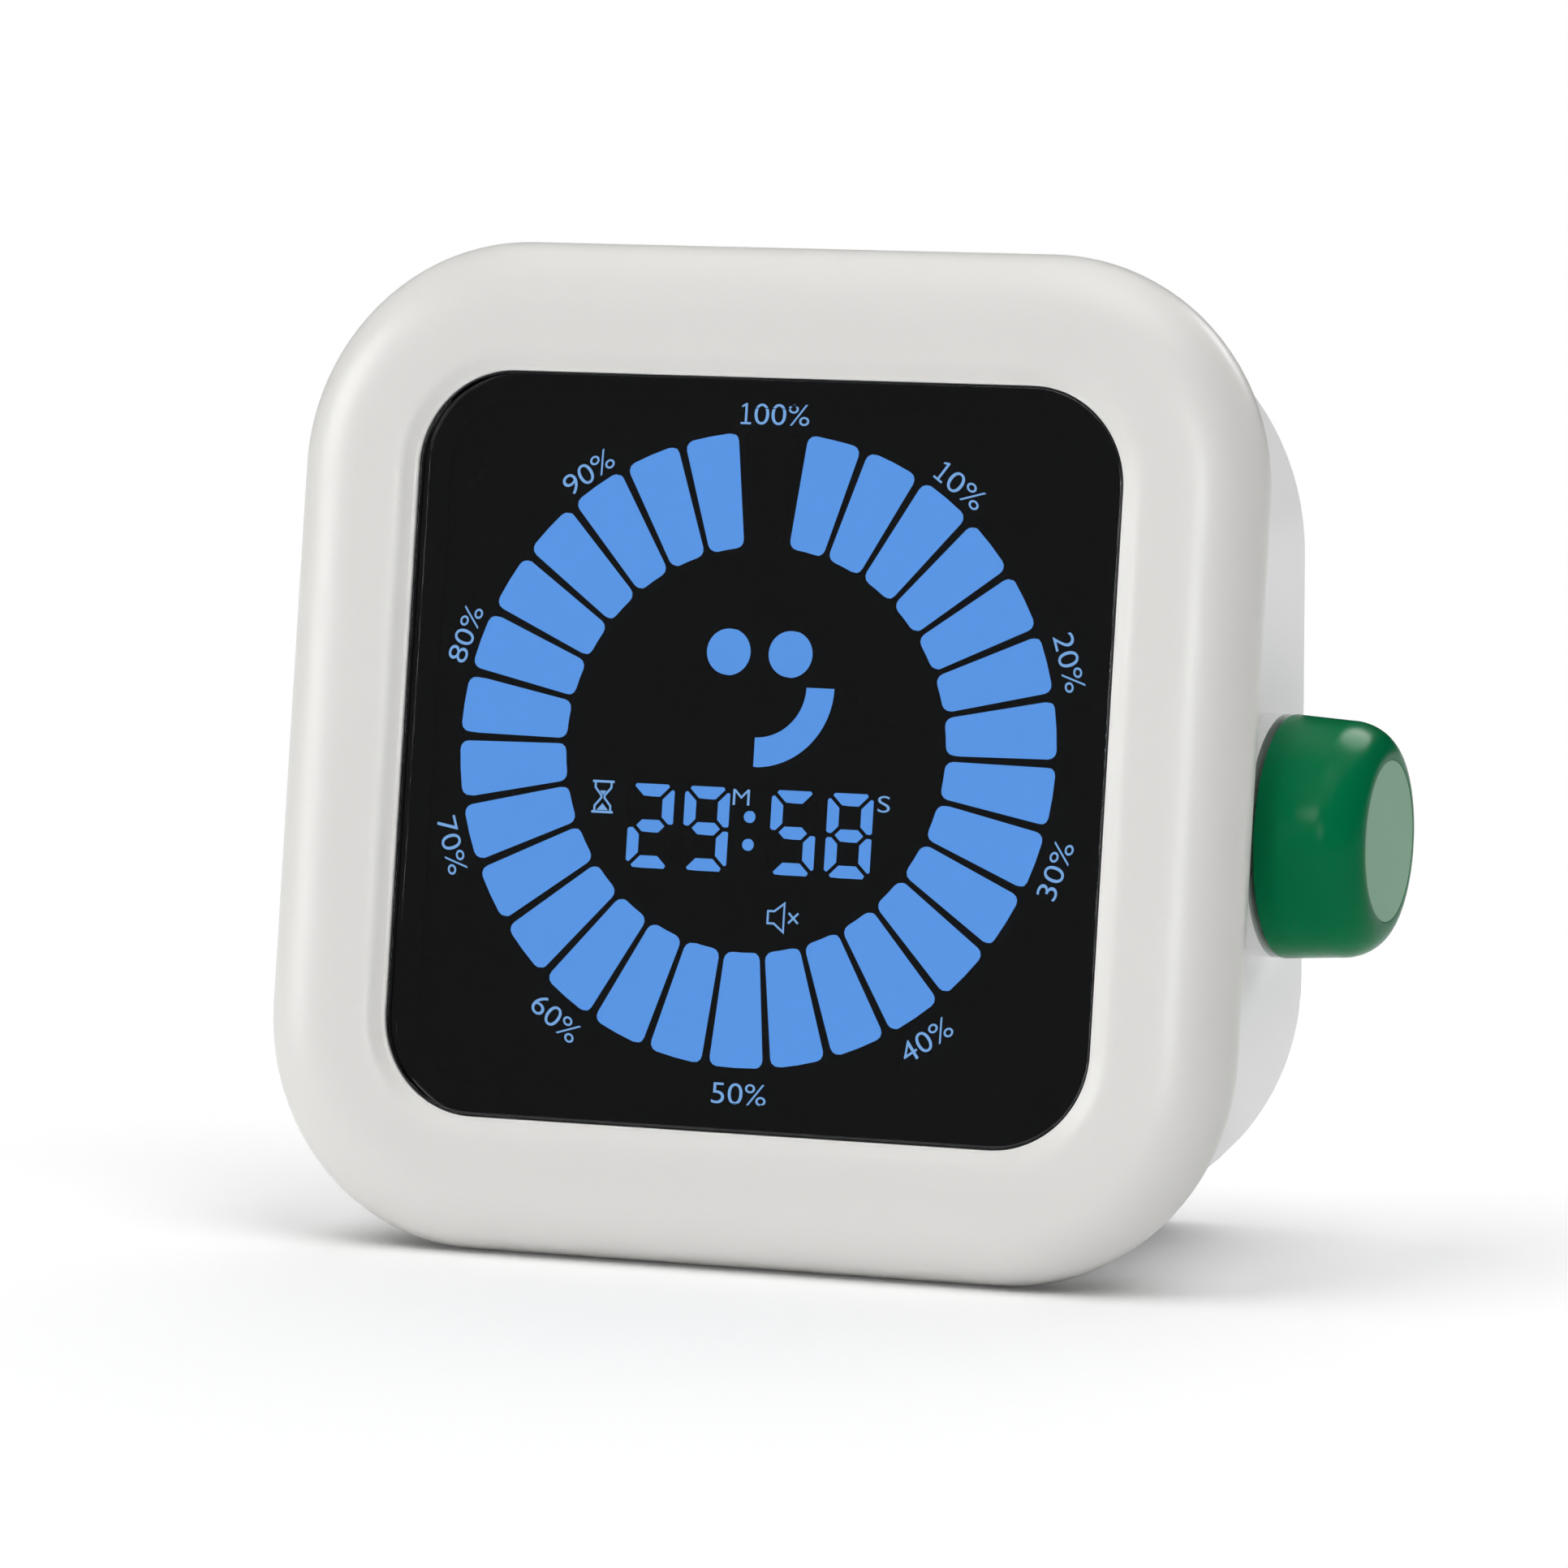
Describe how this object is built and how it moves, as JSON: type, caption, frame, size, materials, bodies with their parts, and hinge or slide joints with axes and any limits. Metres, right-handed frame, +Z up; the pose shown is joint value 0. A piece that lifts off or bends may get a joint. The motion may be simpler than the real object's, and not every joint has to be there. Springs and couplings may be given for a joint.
{
  "type": "visual countdown timer",
  "caption": "Square countdown timer with a leaning round-edged front, a ring of light bars behind a dark window, and a push-and-turn knob on one side.",
  "frame": {"origin": "centre of the rubber foot's underside, on the table", "axes": "+X to the viewer's right along the knob's axis, +Y to the back, +Z up"},
  "size_m": [0.0909, 0.0367, 0.0824],
  "materials": {
    "case_front": "fine satin moulded surface",
    "case_rear": "fine satin moulded surface",
    "window": "polished smoked acrylic",
    "film": "grey diffusing film",
    "black_moulding": "black moulding",
    "lit_cell": "translucent insert, lit blue",
    "dark_cell": "translucent insert, unlit",
    "board_white": "white solder mask",
    "light_chip": "resin-topped chip",
    "gold_pin": "gold-plated pin",
    "board_green": "green solder mask",
    "screw_steel": "zinc-plated",
    "can_steel": "stamped and plated",
    "foot_rubber": "soft grey rubber",
    "white_moulding": "natural acetal",
    "knob_green": "satin moulded surface",
    "disc_green": "matt inlay",
    "slider_grey": "matt moulding",
    "cell_wrap": "plain shrink wrap",
    "spring_steel": "nickel-plated spring steel"
  },
  "bodies": {
    "case": {"front_bezel": "case_front", "display_window": "window", "diffuser_film": "film", "light_box": "black_moulding", "ring_bars": "lit_cell", "digit_strokes": "lit_cell", "face_lights": "lit_cell", "unlit_cells": "dark_cell", "led_board": "board_white", "led_chips": "light_chip", "display_pins": "gold_pin", "main_board": "board_green", "board_screws": "screw_steel", "board_chips": "black_moulding", "quartz_crystal": "can_steel", "capacitors": "can_steel", "rear_housing": "case_rear", "rubber_foot": "foot_rubber", "encoder_body": "can_steel", "encoder_bush": "can_steel", "encoder_nut": "can_steel", "encoder_board": "board_green", "rear_cover": "case_rear", "cover_screws": "screw_steel", "speaker_basket": "can_steel", "speaker_magnet": "can_steel", "speaker_cone": "black_moulding", "switch_body": "can_steel", "cell_upper": "cell_wrap", "cell_middle": "cell_wrap", "cell_lower": "cell_wrap", "contact_plates": "spring_steel", "contact_springs": "spring_steel"},
    "press": {"push_rod": "white_moulding"},
    "dial": {"knob_shaft": "can_steel", "knob": "knob_green", "knob_disc": "disc_green"},
    "slider": {"sound_slider": "slider_grey"},
    "door": {"battery_door": "case_rear"}
  },
  "joints": [
    {"name": "knob_press", "type": "slide", "parent": "case", "child": "press", "axis": [-1, 0, 0], "range_m": [0, 0.0005], "stiffness_N_per_m": 3000, "springref_m": -0.0003},
    {"name": "knob_turn", "type": "hinge", "parent": "press", "child": "dial", "pos_m": [0.04, 0.0025, 0.0347], "axis": [1, 0, 0], "continuous": true},
    {"name": "sound_slide", "type": "slide", "parent": "case", "child": "slider", "axis": [1, 0, 0], "range_m": [0, 0.004]},
    {"name": "door_hinge", "type": "hinge", "parent": "case", "child": "door", "pos_m": [-0.0005, 0.0127, 0.0134], "axis": [-1, 0, 0], "range_deg": [0, 95]}
  ]
}
